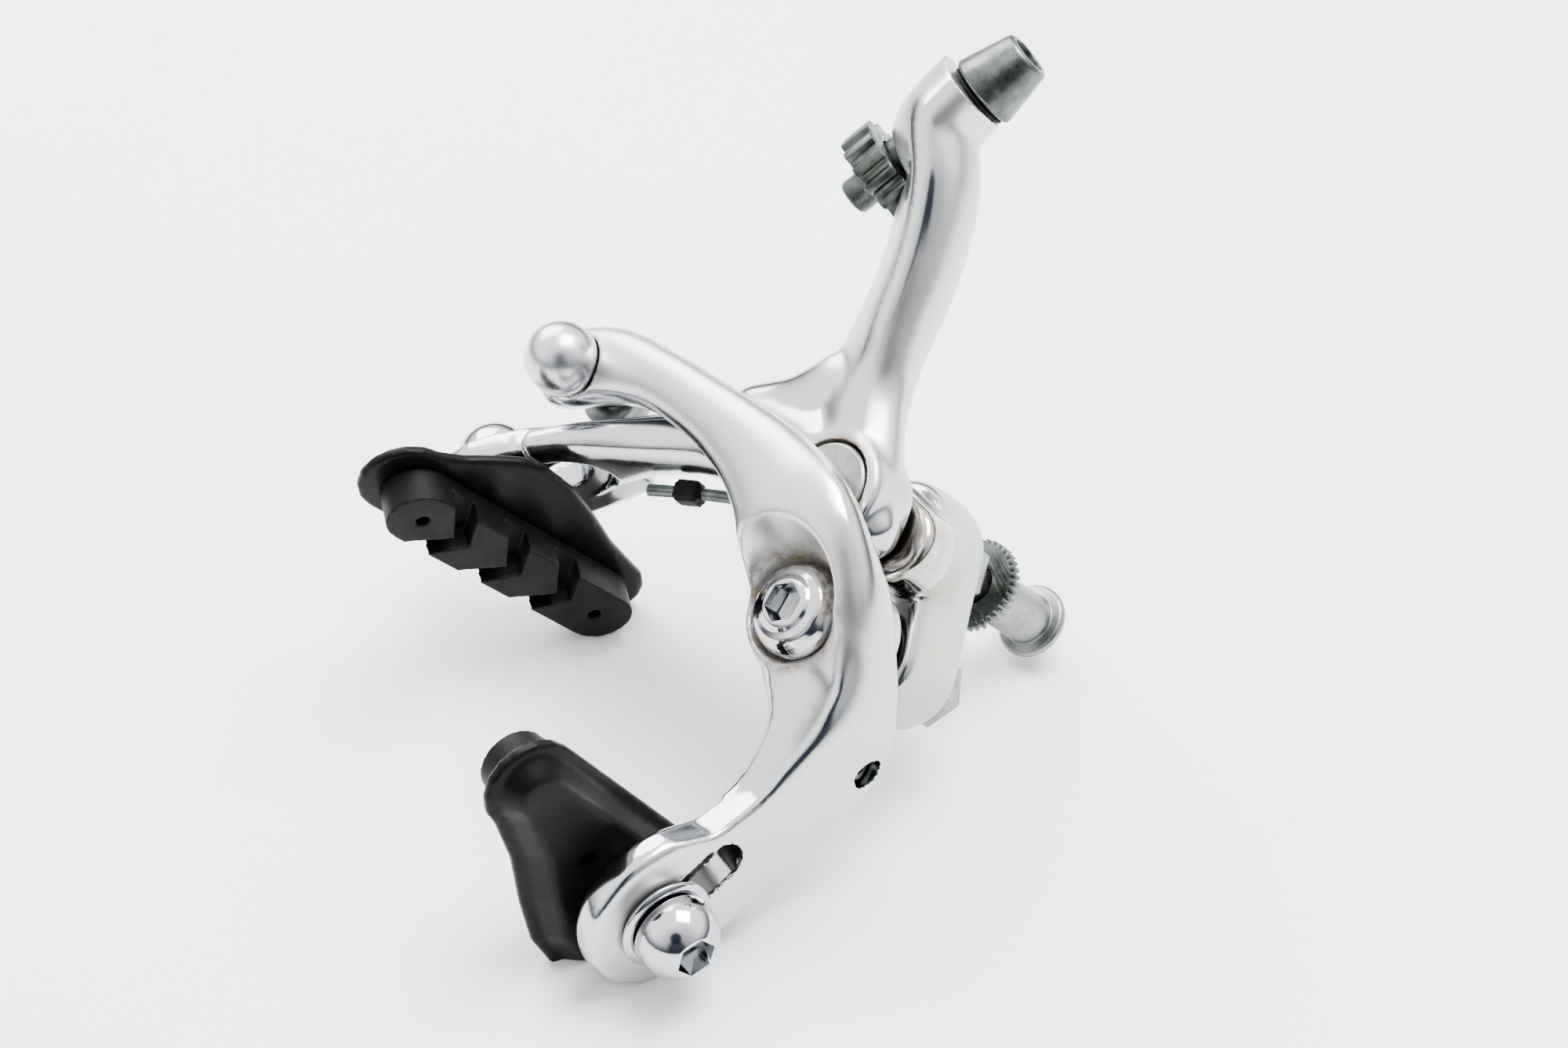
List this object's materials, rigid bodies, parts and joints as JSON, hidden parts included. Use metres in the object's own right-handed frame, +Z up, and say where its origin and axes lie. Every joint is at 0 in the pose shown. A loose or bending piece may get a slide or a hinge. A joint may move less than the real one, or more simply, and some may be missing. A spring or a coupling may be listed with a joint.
{
  "type": "rim brake caliper",
  "caption": "Dual-pivot road bicycle brake caliper: a front C-arm and a rear Y-arm on a fixed bracket, with sprung return, screw cable adjuster and bolted pads.",
  "frame": {"origin": "on the centre bolt's axis, at the rear face of the serrated washer that bears on the fork crown or brake bridge", "axes": "+Y rearward along the centre bolt into the frame, +Z up, +X to the right seen from the front of the brake"},
  "size_m": [0.1027, 0.0882, 0.1243],
  "materials": {
    "forged_aluminium": "satin forged, polished edges",
    "bracket_aluminium": "matte off-white anodised",
    "chromed_steel": "bright chrome",
    "zinc_steel": "zinc plated, satin",
    "dark_zinc": "dark grey-green plating, slightly rough",
    "bronze": "sintered bronze, satin",
    "pad_rubber": "black moulded friction rubber",
    "shoe_plastic": "black moulded, satin",
    "seal_rubber": "black rubber"
  },
  "bodies": {
    "bracket": {"bracket": "bracket_aluminium", "centre_bolt": "zinc_steel", "centre_seal": "seal_rubber", "centre_lock_nut": "zinc_steel", "serrated_washer": "dark_zinc", "sleeve_nut": "zinc_steel", "side_pivot_bolt": "chromed_steel", "side_pivot_washer": "zinc_steel", "side_pivot_seal": "seal_rubber", "side_pivot_nut": "zinc_steel", "return_spring": "zinc_steel"},
    "rear_arm": {"rear_arm": "forged_aluminium", "centre_bush": "bronze", "spring_shoe_left": "seal_rubber", "adjuster_seal": "seal_rubber"},
    "front_arm": {"front_arm": "forged_aluminium", "side_pivot_bush": "bronze", "spring_shoe_right": "seal_rubber"},
    "cable_anchor": {"anchor_bolt": "chromed_steel", "anchor_washer": "zinc_steel", "anchor_nut": "zinc_steel"},
    "centring_screw": {"centring_screw": "dark_zinc"},
    "adjuster_wheel": {"adjuster_wheel": "dark_zinc"},
    "adjuster_barrel": {"adjuster_barrel": "dark_zinc"},
    "pad_mount_right": {"pad_bolt_right": "chromed_steel", "pad_washer_right": "chromed_steel", "pad_spacer_right": "zinc_steel"},
    "pad_mount_left": {"pad_bolt_left": "chromed_steel", "pad_washer_left": "chromed_steel", "pad_spacer_left": "zinc_steel"},
    "pad_right": {"pad_shoe_right": "shoe_plastic", "pad_block_right": "pad_rubber", "pad_insert_right": "zinc_steel"},
    "pad_left": {"pad_shoe_left": "shoe_plastic", "pad_block_left": "pad_rubber", "pad_insert_left": "zinc_steel"}
  },
  "joints": [
    {"name": "rear_arm_turn", "type": "hinge", "parent": "bracket", "child": "rear_arm", "pos_m": [0, -0.0365, 0], "axis": [0, -1, 0], "range_deg": [0, 16], "stiffness_Nm_per_rad": 1.2, "springref_deg": -28.65, "deforming": ["return_spring"]},
    {"name": "front_arm_turn", "type": "hinge", "parent": "bracket", "child": "front_arm", "pos_m": [0.014, -0.0338, -0.0117], "axis": [0, 1, 0], "range_deg": [0, 19.2]},
    {"name": "cable_anchor_swivel", "type": "hinge", "parent": "front_arm", "child": "cable_anchor", "pos_m": [-0.0418, -0.045, -0.0252], "axis": [0, -1, 0], "range_deg": [-30, 30]},
    {"name": "centring_screw_turn", "type": "hinge", "parent": "front_arm", "child": "centring_screw", "pos_m": [0.0321, -0.0256, -0.0185], "axis": [0.8523, 0.1103, 0.5114], "range_deg": [-180, 180]},
    {"name": "adjuster_wheel_turn", "type": "hinge", "parent": "rear_arm", "child": "adjuster_wheel", "pos_m": [-0.0365, -0.044, 0.03], "axis": [0, 0, 1], "range_deg": [0, 1440]},
    {"name": "adjuster_barrel_slide", "type": "slide", "parent": "rear_arm", "child": "adjuster_barrel", "axis": [0, 0, 1], "range_m": [0, 0.0041]},
    {"name": "pad_height_right", "type": "slide", "parent": "front_arm", "child": "pad_mount_right", "axis": [-0.3065, 0.225, 0.9249], "range_m": [0, 0.01]},
    {"name": "pad_height_left", "type": "slide", "parent": "rear_arm", "child": "pad_mount_left", "axis": [0.1166, 0.225, 0.9674], "range_m": [0, 0.005]},
    {"name": "pad_swivel_right", "type": "hinge", "parent": "pad_mount_right", "child": "pad_right", "pos_m": [0.042, -0.04, -0.0484], "axis": [0.9492, 0, 0.3146], "range_deg": [-10, 10]},
    {"name": "pad_swivel_left", "type": "hinge", "parent": "pad_mount_left", "child": "pad_left", "pos_m": [-0.0419, -0.04, -0.0481], "axis": [-0.9928, 0, 0.1197], "range_deg": [-10, 10]}
  ],
  "couplings": [
    {"joint": "front_arm_turn", "follows": "rear_arm_turn", "ratio": 1.2},
    {"joint": "adjuster_barrel_slide", "follows": "adjuster_wheel_turn", "m_per_rad": 0.00015915}
  ]
}
